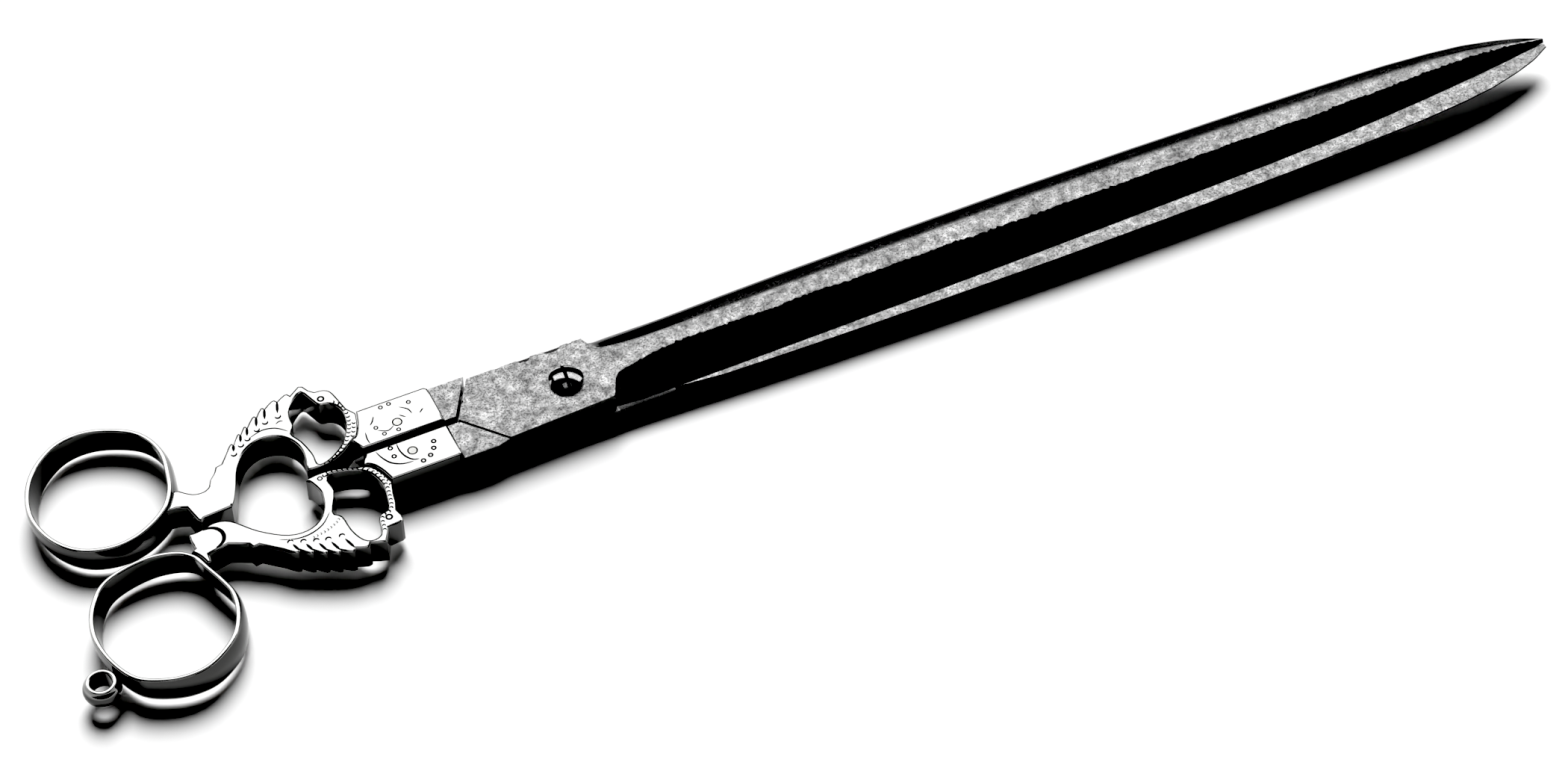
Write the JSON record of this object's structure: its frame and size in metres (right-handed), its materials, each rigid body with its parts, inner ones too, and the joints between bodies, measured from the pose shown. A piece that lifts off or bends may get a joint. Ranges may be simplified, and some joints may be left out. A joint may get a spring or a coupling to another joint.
{
  "type": "fabric shears",
  "caption": "Long fabric shears: lapped steel blades on a slotted pivot screw, cast bird-shaped handles with scalloped wings, finger rings and a lanyard eye.",
  "frame": {"origin": "on the pivot axis, at the flush end of the pivot screw that the shears rest on", "axes": "+X along the closed blades to the tips, +Y to the finger handle's side, +Z along the pivot to the screw's slotted head"},
  "size_m": [0.3852, 0.0753, 0.0111],
  "materials": {
    "blade_steel": "aged ground steel, lightly pitted and mottled",
    "screw_steel": "polished steel screw",
    "washer_brass": "dull brass",
    "nut_steel": "plain turned steel",
    "ferrule_metal": "polished white metal with worn engraving",
    "pin_metal": "white metal pin filed flush",
    "bird_metal": "polished white metal casting, punched and engraved",
    "ring_metal": "polished white metal band"
  },
  "bodies": {
    "finger_half": {"finger_blade": "blade_steel", "finger_ferrule": "ferrule_metal", "finger_tang_pin": "pin_metal", "finger_bird": "bird_metal", "finger_ring": "ring_metal", "pivot_screw": "screw_steel", "pivot_washer": "washer_brass", "pivot_nut": "nut_steel"},
    "thumb_half": {"thumb_blade": "blade_steel", "thumb_ferrule": "ferrule_metal", "thumb_tang_pin": "pin_metal", "thumb_bird": "bird_metal", "thumb_ring": "ring_metal", "lanyard_eye": "ring_metal"}
  },
  "joints": [
    {"name": "pivot", "type": "hinge", "parent": "finger_half", "child": "thumb_half", "pos_m": [0, 0, 0.00565], "axis": [0, 0, 1], "range_deg": [-1, 120]}
  ]
}
